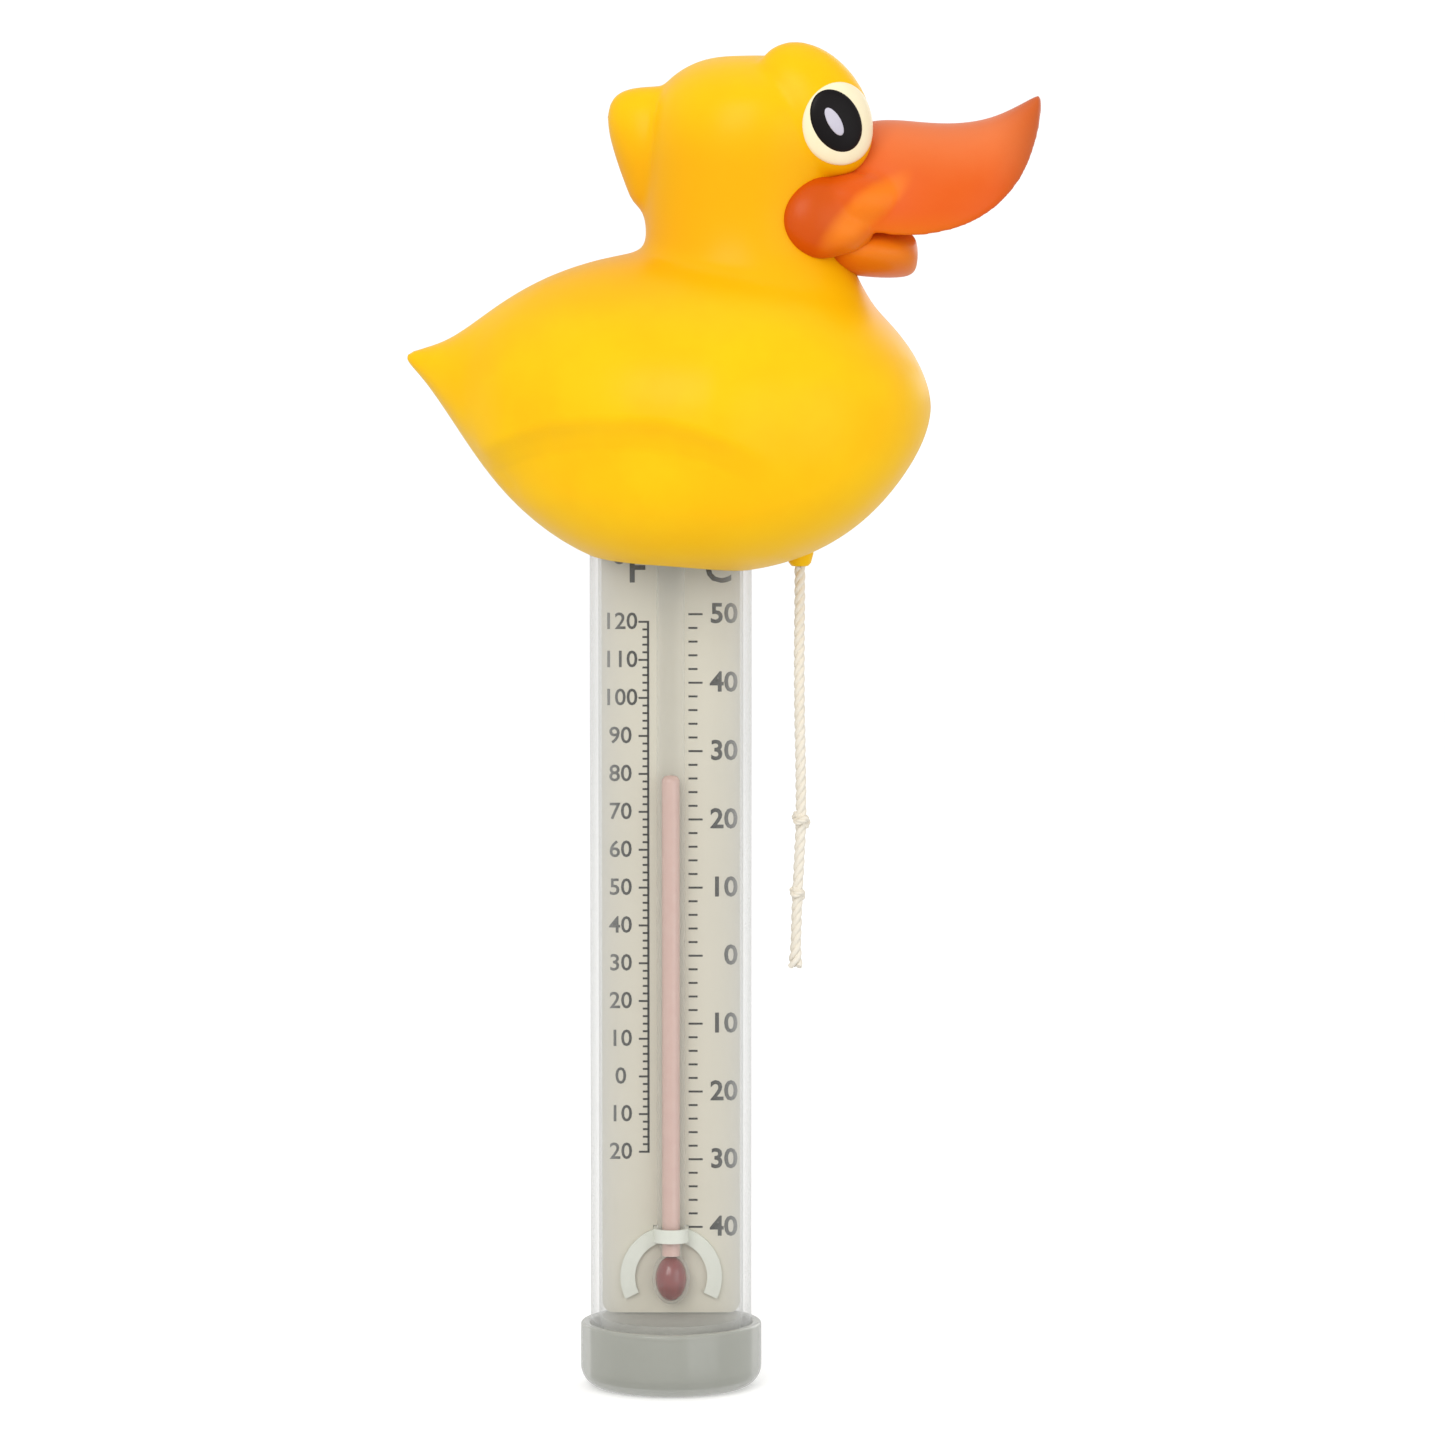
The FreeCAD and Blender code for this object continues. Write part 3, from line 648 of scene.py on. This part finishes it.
# bill
bill = {
    # x, ridge height, rim height, half width, all in mm; heights above the belly
    "upper": [(27.5, 76.5, 61.5, 11.5), (33.0, 79.3, 60.2, 12.8), (38.5, 79.9, 59.5, 13.7),
              (44.0, 79.2, 59.4, 13.9), (50.0, 78.9, 60.6, 13.4), (55.5, 79.7, 63.2, 11.9),
              (59.5, 81.4, 67.0, 9.4), (62.3, 82.9, 71.2, 6.6), (64.2, 83.9, 76.6, 3.4),
              (64.8, 84.1, 80.6, 1.4)],
    # its section from one rim over the top to the other and back underneath: across and up
    "arch": [(-1.0, 0.00), (-1.0, 0.26), (-0.90, 0.56), (-0.68, 0.82), (-0.36, 0.96), (0.0, 1.0),
             (0.36, 0.96), (0.68, 0.82), (0.90, 0.56), (1.0, 0.26), (1.0, 0.00), (0.94, -0.04),
             (0.84, 0.04), (0.56, 0.24), (0.0, 0.34), (-0.56, 0.24), (-0.84, 0.04), (-0.94, -0.04)],
    # x, top, bottom, half width
    "jaw": [(26.5, 61.4, 53.6, 10.6), (30.5, 61.4, 52.4, 12.2), (36.0, 61.2, 51.8, 12.2),
            (40.0, 60.6, 51.8, 10.8), (42.4, 59.6, 52.2, 8.2), (43.3, 58.2, 53.8, 5.0)],
    # x, out to the side, height above the belly; radii; turn about z
    "cheek": ((26.4, 12.2, 62.3), (7.6, 4.6, 7.2), 24),
    "lip": ((33.2, 10.6, 65.4), (9.6, 4.6, 4.9), 16),
    "corner": ((29.0, 11.6, 60.2), (6.6, 4.2, 4.4), 18),
    "voxel": 0.42, "smoothing": 22,
}


def billMaterial():
    material, principled, place = newMaterial("billOrange")
    patches = place.noise(60, 4, 0.55)
    peel = place.noise(1600, 2, 0.4)
    height, ahead = place.axis("Z") + 0.004 * patches, place.axis("X")
    deep = patches.blendColours(rgba(0.70, 0.090, 0.002), rgba(0.76, 0.120, 0.004))
    # painted highlight: the bill is paler towards its top, for the sheen along the ridge
    tone = height.between(212 * mm, 224 * mm).blendColours(deep, rgba(0.78, 0.180, 0.045))
    # below the rim the bill is paler and yellower: partly the jaw's own orange, partly painted light that
    # lifts the jaw out of the upper bill's shade
    tone = height.between(201 * mm, 210 * mm).blendColours(rgba(0.76, 0.190, 0.005), tone)
    # painted shade: the rear of the cheek is darker, for the shade in the dimple at the mouth corner
    tone = ahead.between(25 * mm, 33 * mm).blendColours(rgba(0.60, 0.082, 0.001), tone)
    tone = ahead.between(55 * mm, 65 * mm).blendColours(tone, rgba(0.58, 0.105, 0.012))
    # painted highlight: the orange is paler along the lip, which slants down to the cheek
    along = ahead - 33.5 * mm
    over = (height - 209 * mm - along * 0.75) * (1 / (4 * mm))
    along = along * (1 / (8 * mm))
    lip = 1 - (along * along + over * over).between(0.1, 1.3)
    tone = (lip * 0.65).blendColours(tone, rgba(0.92, 0.25, 0.006))
    setSockets(principled, Base_Color=tone, Roughness=0.33 + 0.08 * patches,
               Normal=peel.bump(0.10, 0.05 * mm), Specular_IOR_Level=0.20,
               Subsurface_Weight=0.06, Subsurface_Radius=(0.004, 0.0015, 0.0006), Subsurface_Scale=0.5)
    return material


def makeBill(orange):
    base = duck["belly"]
    rings = [(x * mm, (base + rim) * mm, wide * mm, (ridge - rim) * mm)
             for x, ridge, rim, wide in bill["upper"]]
    upper = ringLoft("upperForm", rings, profile=bill["arch"])
    applyModifier(upper, "SUBSURF", levels=2, render_levels=2)
    mouth = [upper]
    for name in ("cheek", "lip", "corner"):
        (x, y, z), radii, turn = bill[name]
        for side in (-1, 1):
            mouth.append(ellipsoid(name, (x * mm, side * y * mm, (base + z) * mm),
                                   [radius * mm for radius in radii], (0, 0, -side * turn)))
    upper = joinPieces(mouth, "billUpper")
    rings = [(x * mm, (base + (top + bottom) / 2) * mm, wide * mm, (top - bottom) / 2 * mm)
             for x, top, bottom, wide in bill["jaw"]]
    lower = ringLoft("billLower", rings, 32)
    applyModifier(lower, "SUBSURF", levels=2, render_levels=2)
    for piece, node in ((upper, "bill_upper"), (lower, "bill_lower")):
        applyModifier(piece, "REMESH", mode="VOXEL", voxel_size=bill["voxel"] * mm, use_smooth_shade=True)
        applyModifier(piece, "SMOOTH", factor=0.5, iterations=bill["smoothing"])
        finishPiece(piece, "float", orange, [node])


makeBill(billMaterial())
print("bill made")


# eyes: low domes that follow the bulge under each brow
eye = {
    "middle": (26.6, 10.8, 81.6),        # x, out to the side, height above the belly
    "gaze": (0.42, 0.90, -0.12),         # forward, outward, up
    # place across and up from that middle, half width, half height, lean back, rise; in mm
    "white": (0.5, -2.5, 6.9, 7.3, 20, 0.24),
    "pupil": (-0.7, -1.9, 4.3, 5.8, 32, 0.42),
    "glint": (-1.4, -2.0, 1.15, 2.8, 32, 0.52),
    "sides": 56, "rings": [0.03, 0.05, 0.08, 0.12, 0.16, 0.18, 0.18],
    "roundShare": 0.10,                  # share of the radius over which the edge rounds down
    "sunkEdge": 0.12, "thickness": 0.45,
    "clearOf": 30.0,                     # the domes are laid on the skin from this far out
}


def paintMaterial(name, colour, other, roughness):
    material, principled, place = newMaterial(name)
    tone = place.noise(420, 4).blendColours(colour, other)
    setSockets(principled, Base_Color=tone, Roughness=roughness, Specular_IOR_Level=0.16,
               Normal=place.noise(1800, 2).bump(0.06, 0.04 * mm))
    return material


def eyeDome(name, side, skin):
    across, up, halfWide, halfTall, lean, rise = eye[name]
    gaze = Vector((eye["gaze"][0], side * eye["gaze"][1], eye["gaze"][2])).normalized()
    level = Vector((gaze.y, -gaze.x, 0)).normalized() * side
    upward = level.cross(gaze) * side
    x, y, z = eye["middle"]
    middle = Vector((x, side * y, duck["belly"] + z)) * mm + (level * across + upward * up) * mm
    turn = math.radians(lean)
    longAxis = (upward * math.cos(turn) - level * math.sin(turn)) * halfTall * mm
    shortAxis = (level * math.cos(turn) + upward * math.sin(turn)) * halfWide * mm
    deselectAll()
    bpy.ops.mesh.primitive_circle_add(vertices=eye["sides"], radius=1, fill_type="NGON")
    dome = bpy.context.active_object
    editing(dome)
    for thickness in eye["rings"]:
        bpy.ops.mesh.inset(thickness=thickness)
    bpy.ops.mesh.poke()
    bpy.ops.object.mode_set(mode="OBJECT")
    for vertex in dome.data.vertices:
        out = math.hypot(vertex.co.x, vertex.co.y)
        start = middle + shortAxis * vertex.co.x + longAxis * vertex.co.y + gaze * eye["clearOf"] * mm
        _, place, normal, _ = skin.ray_cast(start, -gaze)
        lift = rise * math.sqrt(min(1.0, max(0.0, (1 - out) / eye["roundShare"])))
        vertex.co = place + normal * (lift - eye["sunkEdge"] * (out > 0.995)) * mm
    editing(dome)
    doneEditing()
    applyModifier(dome, "SOLIDIFY", thickness=eye["thickness"] * mm, offset=-1)
    return smoothShade(dome, 60)


def makeEyes(skin):
    finishes = {
        "white": (paintMaterial("eyeCream", rgba(0.90, 0.80, 0.52), rgba(0.94, 0.85, 0.62), 0.28),
                  "eye_cream"),
        "pupil": (paintMaterial("pupilBlack", rgba(0.003, 0.002, 0.002), rgba(0.006, 0.004, 0.005), 0.42),
                  "pupil_black"),
        "glint": (paintMaterial("glintWhite", rgba(0.50, 0.47, 0.56), rgba(0.62, 0.60, 0.68), 0.25),
                  "eye_cream"),
    }
    for side, word in ((-1, "right"), (1, "left")):
        for name, node in (("white", "eye_white_"), ("pupil", "pupil_"), ("glint", None)):
            dome = rename(eyeDome(name, side, skin), name + word.title())
            material, slot = finishes[name]
            finishPiece(dome, "float", material, [node + word] if node else [])


makeEyes(duckSkin)
print("eyes made")


# the socket in the belly that the tube and its plug push into
def cutSocket(skin):
    depth = 40 * mm
    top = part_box("top_plug")[1].z + duck["socketOver"] * mm
    bpy.ops.mesh.primitive_cylinder_add(vertices=128, radius=duck["socketRadius"] * mm, depth=depth,
                                        location=(0, 0, top - depth / 2))
    cutAway(skin, rename(bpy.context.active_object, "socketCut"))


cutSocket(duckSkin)


# the two moulded halves meet on a seam with rounded lips
def makeHalf(skin, side, word, yellow):
    makeActive(skin)
    bpy.ops.object.duplicate()
    half = rename(bpy.context.active_object, "duckHalf" + word)
    editing(half)
    bpy.ops.mesh.bisect(plane_co=(0, 0, 0), plane_no=(0, side, 0), clear_inner=True, use_fill=True)
    bpy.ops.object.mode_set(mode="OBJECT")
    rims = [edge.index for edge in half.data.edges
            if all(abs(half.data.vertices[i].co.y) < 0.002 * mm for i in edge.vertices)]
    editing(half, selectAll=False)
    bpy.ops.mesh.select_mode(type="EDGE")
    bpy.ops.object.mode_set(mode="OBJECT")
    for index in rims:
        half.data.edges[index].select = True
    bpy.ops.object.mode_set(mode="EDIT")
    bpy.ops.mesh.bevel(offset=duck["seamBevel"] * mm, segments=2, affect="EDGES", clamp_overlap=True)
    doneEditing()
    smoothShade(half, 50)
    finishPiece(half, "float", yellow, ["float_shell_" + word.lower()])


duckYellow = duckMaterial()
makeGrommet(duckYellow)
makeHalf(duckSkin, 1, "Left", duckYellow)
makeHalf(duckSkin, -1, "Right", duckYellow)
bpy.data.objects.remove(duckSkin)
print("duck skin finished")


# clear tube, end cap and the parts inside
def clearMaterial(name, tint, centre, edge, power, roughness):
    material, principled, place = newMaterial(name)
    tree = material.node_tree
    output = tree.nodes["Material Output"]
    facing = place.node("ShaderNodeLayerWeight", {}, {"Blend": 0.5}, 1)
    haze = place.noise(260, 4, 0.6)
    setSockets(principled, Base_Color=haze.blendColours(tint, rgba(*[c * 0.96 for c in tint[:3]])),
               Roughness=roughness + 0.05 * haze, Normal=place.noise(700, 2).bump(0.03, 0.04 * mm),
               Coat_Weight=0.6, Coat_Roughness=0.05)
    thin = tree.nodes.new("ShaderNodeBsdfTransparent")
    mix = tree.nodes.new("ShaderNodeMixShader")
    tree.links.new(((facing ** power) * (edge - centre) + centre).socket, mix.inputs[0])
    tree.links.new(thin.outputs[0], mix.inputs[1])
    tree.links.new(principled.outputs[0], mix.inputs[2])
    tree.links.new(mix.outputs[0], output.inputs["Surface"])
    return material


tubeShape = {"wall": 1.5, "rim": 0.35, "steps": 128}
capShape = {"floor": 1.6, "corner": 3.8, "lip": 0.5, "clearance": 0.05, "edge": 0.3, "steps": 128}


def makeTube():
    rim = tubeShape["rim"] * mm
    outer, inner = tubeRadius, tubeRadius - tubeShape["wall"] * mm
    outline = [(outer, tubeLow.z + rim), (outer, tubeHigh.z - rim), (outer - rim, tubeHigh.z),
               (inner + rim, tubeHigh.z), (inner, tubeHigh.z - rim), (inner, tubeLow.z + rim),
               (inner + rim, tubeLow.z), (outer - rim, tubeLow.z)]
    tube = turned("clearTube", outline, tubeShape["steps"])
    smoothShade(tube, 40)
    clear = clearMaterial("clearTubePlastic", rgba(0.76, 0.765, 0.74), 0.03, 0.80, 1.9, 0.06)
    finishPiece(tube, "thermometer", clear, ["clear_tube"])


def makeCap():
    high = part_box("bottom_cap")[1]
    outer, inner = high.x, tubeRadius + capShape["clearance"] * mm
    floor, corner, lip, edge = [capShape[key] * mm for key in ("floor", "corner", "lip", "edge")]
    outline = [(0, 0)]
    for step in range(9):
        turn = math.radians(-90 + 90 * step / 8)
        outline.append((outer - corner + corner * math.cos(turn), corner + corner * math.sin(turn)))
    for step in range(5):
        turn = math.radians(90 * step / 4)
        outline.append((outer - lip + lip * math.cos(turn), high.z - lip + lip * math.sin(turn)))
    outline += [(inner + edge, high.z), (inner, high.z - edge), (inner, floor), (0, floor)]
    cap = turned("endCap", outline, capShape["steps"])
    smoothShade(cap, 40)
    frosted = clearMaterial("frostedCap", rgba(0.50, 0.51, 0.45), 0.45, 0.84, 1.5, 0.20)
    finishPiece(cap, "end_cap", frosted, ["bottom_cap"])


makeTube()
makeCap()
print("tube and cap made")


# scale card with its print, in mm: the lowest Celsius mark, the length of a degree, and places across
card = {
    "lowMark": 28.0, "pitch": 1.209, "celsiusDegrees": (-40, 50), "fahrenheitDegrees": (-20, 120),
    "celsiusTicks": (3.1, 5.6), "celsiusMinor": 4.7, "celsiusLabels": 11.8, "celsiusUnit": 7.0,
    "fahrenheitTicks": (-4.0, -5.7), "fahrenheitMinor": -5.0, "fahrenheitLabels": -8.9,
    "fahrenheitUnit": -7.4, "unitHeight": 144.6, "spineWidth": 0.4,
    "textHeight": 4.9, "smallText": 0.84, "letterHeight": 7.0, "lineWidth": 0.36, "ink": 0.03,
    "bold": 0.11, "light": 0.05,         # how far the letters are fattened
}
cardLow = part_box("scale_card")[0]


def celsiusHeight(degrees):
    return (card["lowMark"] + (degrees - card["celsiusDegrees"][0]) * card["pitch"]) * mm


def fahrenheitHeight(degrees):
    return celsiusHeight((degrees - 32) / 1.8)


def printLine(x0, x1, height, wide=None):
    deselectAll()
    bpy.ops.mesh.primitive_cube_add(size=1, location=((x0 + x1) / 2 * mm, cardLow.y, height))
    line = bpy.context.active_object
    line.scale = (abs(x1 - x0) * mm, 2 * card["ink"] * mm, (wide or card["lineWidth"]) * mm)
    return applyPlace(line)


def printText(words, x, height, size, align, bold):
    data = bpy.data.curves.new("print", "FONT")
    data.body, data.size, data.extrude = words, size * mm, card["ink"] * mm
    data.align_x, data.align_y = align, "CENTER"
    data.offset = bold * mm
    data.resolution_u = 3
    piece = bpy.data.objects.new("print", data)
    bpy.context.scene.collection.objects.link(piece)
    makeActive(piece)
    bpy.ops.object.convert(target="MESH")
    piece = bpy.context.active_object
    piece.rotation_euler = (math.pi / 2, 0, 0)
    piece.location = (x * mm, cardLow.y, height)
    return applyPlace(piece)


def cardMaterial():
    material, principled, place = newMaterial("printedCard")
    fibres = place.noise(2600, 5, 0.6)
    clouds = place.noise(45, 3)
    tone = clouds.blendColours(rgba(0.60, 0.57, 0.47), rgba(0.65, 0.62, 0.52))
    setSockets(principled, Base_Color=tone, Roughness=0.45 + 0.15 * fibres,
               Normal=fibres.bump(0.08, 0.04 * mm))
    return material


def makePrint():
    ink, principled, place = newMaterial("printInk")
    worn = place.noise(1500, 4, 0.6)
    setSockets(principled, Base_Color=worn.blendColours(rgba(0.010, 0.010, 0.008), rgba(0.03, 0.03, 0.025)),
               Roughness=0.4 + 0.2 * worn)
    near, far = card["celsiusTicks"]
    low, high = card["celsiusDegrees"]
    unitZ, unitSize = card["unitHeight"] * mm, card["letterHeight"]
    celsius = []
    for degrees in range(low, high + 1, 2):
        end = far if degrees % 10 == 0 else card["celsiusMinor"]
        celsius.append(printLine(near, end, celsiusHeight(degrees)))
    for degrees in range(low, high + 1, 10):
        celsius.append(printText(str(abs(degrees)), card["celsiusLabels"], celsiusHeight(degrees),
                                 card["textHeight"], "RIGHT", card["bold"]))
    celsius.append(printText("°C", card["celsiusUnit"], unitZ, unitSize, "CENTER", card["bold"]))
    finishPiece(joinPieces(celsius, "celsiusPrint"), "thermometer", ink)
    near, far = card["fahrenheitTicks"]
    low, high = card["fahrenheitDegrees"]
    fahrenheit = []
    for degrees in range(low, high + 1, 2):
        end = far if degrees % 10 == 0 else card["fahrenheitMinor"]
        fahrenheit.append(printLine(near, end, fahrenheitHeight(degrees)))
    spineLow, spineHigh, half = fahrenheitHeight(low), fahrenheitHeight(high), card["spineWidth"] / 2
    fahrenheit.append(printLine(near - half, near + half, (spineLow + spineHigh) / 2,
                                (spineHigh - spineLow) / mm + card["lineWidth"]))
    for degrees in range(low, high + 1, 10):
        fahrenheit.append(printText(str(abs(degrees)), card["fahrenheitLabels"], fahrenheitHeight(degrees),
                                    card["textHeight"] * card["smallText"], "CENTER", card["light"]))
    fahrenheit.append(printText("°F", card["fahrenheitUnit"], unitZ, unitSize, "CENTER", card["bold"]))
    finishPiece(joinPieces(fahrenheit, "fahrenheitPrint"), "thermometer", ink)


makePrint()
print("scale printed")


# glass stem and spirit
stemLow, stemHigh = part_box("glass_stem")
reservoirLow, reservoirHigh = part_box("spirit_reservoir")
columnLow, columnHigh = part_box("spirit_column")
stemY = (columnLow.y + columnHigh.y) / 2
# the round glass magnifies the thread of spirit, so it shows broad and pale
stem = {
    "radius": 2.5, "neck": 1.9, "bulbWall": 0.6,
    "neckRise": 0.6, "shoulderRise": 3.0,        # how far over the bulb the neck and the full width are
    "bulbArc": 148,                      # degrees of the bulb's oval, from its foot
    "seenColumn": 1.6, "columnSteps": 60,        # steps along it, so that it can grow and shrink evenly
    "columnTip": [(1.0, 0.9), (0.7, 0.2)],       # share of the radius, and how far below the top
}


def makeStem():
    radius = stem["radius"] * mm
    bulbRadius = (stemHigh.x - stemLow.x) / 2
    bulbHalf = (reservoirHigh.z - reservoirLow.z) / 2 + stem["bulbWall"] * mm
    bulbZ = (reservoirLow.z + reservoirHigh.z) / 2
    outline = []
    for step in range(13):
        turn = math.radians(-90 + stem["bulbArc"] * step / 12)
        outline.append((max(bulbRadius * math.cos(turn), 0), bulbZ + bulbHalf * math.sin(turn)))
    outline.append((stem["neck"] * mm, bulbZ + bulbHalf + stem["neckRise"] * mm))
    outline.append((radius, bulbZ + bulbHalf + stem["shoulderRise"] * mm))
    for step in range(9):
        turn = math.radians(90 * step / 8)
        outline.append((max(radius * math.cos(turn), 0), stemHigh.z - radius + radius * math.sin(turn)))
    glassStem = turned("glassStem", outline, 64, centre=(0, stemY))
    smoothShade(glassStem, 50)
    glass = clearMaterial("stemGlass", rgba(0.80, 0.79, 0.72), 0.07, 0.62, 2.6, 0.05)
    finishPiece(glassStem, "thermometer", glass, ["glass_stem"])


def spiritMaterial(name, low, high):
    material, principled, place = newMaterial(name)
    tone = place.noise(600, 3).blendColours(low, high)
    setSockets(principled, Base_Color=tone, Roughness=0.22, Coat_Weight=0.5, Coat_Roughness=0.05,
               Normal=place.noise(900, 2).bump(0.04, 0.03 * mm))
    return material


def makeSpirit():
    red = spiritMaterial("redSpirit", rgba(0.60, 0.38, 0.33), rgba(0.65, 0.45, 0.39))
    radius = stem["seenColumn"] * mm
    steps = stem["columnSteps"]
    outline = [(0, columnLow.z)]
    for step in range(steps):
        outline.append((radius, columnLow.z + (columnHigh.z - columnLow.z) * step / steps))
    outline += [(share * radius, columnHigh.z - drop * mm) for share, drop in stem["columnTip"]]
    outline.append((0, columnHigh.z))
    column = turned("spiritColumn", outline, 24, centre=(0, stemY))
    smoothShade(column, 50)
    column.data.materials.clear()
    column.data.materials.append(red)
    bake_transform(column)
    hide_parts("spirit_column")
    bulb = ellipsoid("bulbSpirit", (reservoirLow + reservoirHigh) / 2, (reservoirHigh - reservoirLow) / 2)
    smoothShade(bulb)
    dark = spiritMaterial("bulbSpiritRed", rgba(0.16, 0.008, 0.010), rgba(0.25, 0.014, 0.016))
    finishPiece(bulb, "thermometer", dark, ["spirit_reservoir"])


makeStem()
makeSpirit()
print("stem and spirit made")


# plain inner parts keep their shape and get a finish
def plainFinish(name, low, high, roughness, metallic=0.0, grain=900, depth=0.05, stretch=(1, 1, 1)):
    material, principled, place = newMaterial(name)
    pattern = place.stretched(stretch).noise(grain, 4, 0.55)
    setSockets(principled, Base_Color=pattern.blendColours(low, high), Roughness=roughness + 0.1 * pattern,
               Metallic=metallic, Normal=pattern.bump(0.25, depth * mm))
    return material


innerFinishes = {
    "scale_card": cardMaterial(),
    "ballast_weight": plainFinish("ballastZinc", rgba(0.40, 0.42, 0.38), rgba(0.55, 0.56, 0.52), 0.38, 0.9,
                                  260, 0.03, (1, 1, 8)),
    "ballast_pad": plainFinish("foamPad", rgba(0.36, 0.36, 0.32), rgba(0.46, 0.45, 0.41),
                               0.85, 0, 1400, 0.25),
    "cap_gasket": plainFinish("gasketRubber", rgba(0.05, 0.05, 0.05), rgba(0.09, 0.09, 0.085), 0.6),
    "plug_ring": plainFinish("ringRubber", rgba(0.03, 0.03, 0.03), rgba(0.05, 0.05, 0.05), 0.5),
    "collar_ring": plainFinish("gripRubber", rgba(0.03, 0.03, 0.03), rgba(0.05, 0.05, 0.05), 0.5),
    "top_plug": plainFinish("plugPlastic", rgba(0.72, 0.72, 0.70), rgba(0.78, 0.78, 0.76), 0.45),
    "float_collar": plainFinish("collarPlastic", rgba(0.86, 0.52, 0.02), rgba(0.90, 0.56, 0.03), 0.45),
    "anchor_knot": cordMaterial(),
    "stem_clip_lower": plainFinish("clipPlastic", rgba(0.66, 0.68, 0.60), rgba(0.74, 0.76, 0.68), 0.35),
    "stem_clip_upper": plainFinish("clipPlasticUpper", rgba(0.66, 0.68, 0.60), rgba(0.74, 0.76, 0.68),
                                   0.35),
}
for node, finish in innerFinishes.items():
    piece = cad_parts[node]
    piece.data.materials.clear()
    piece.data.materials.append(finish)
print("inner parts finished")
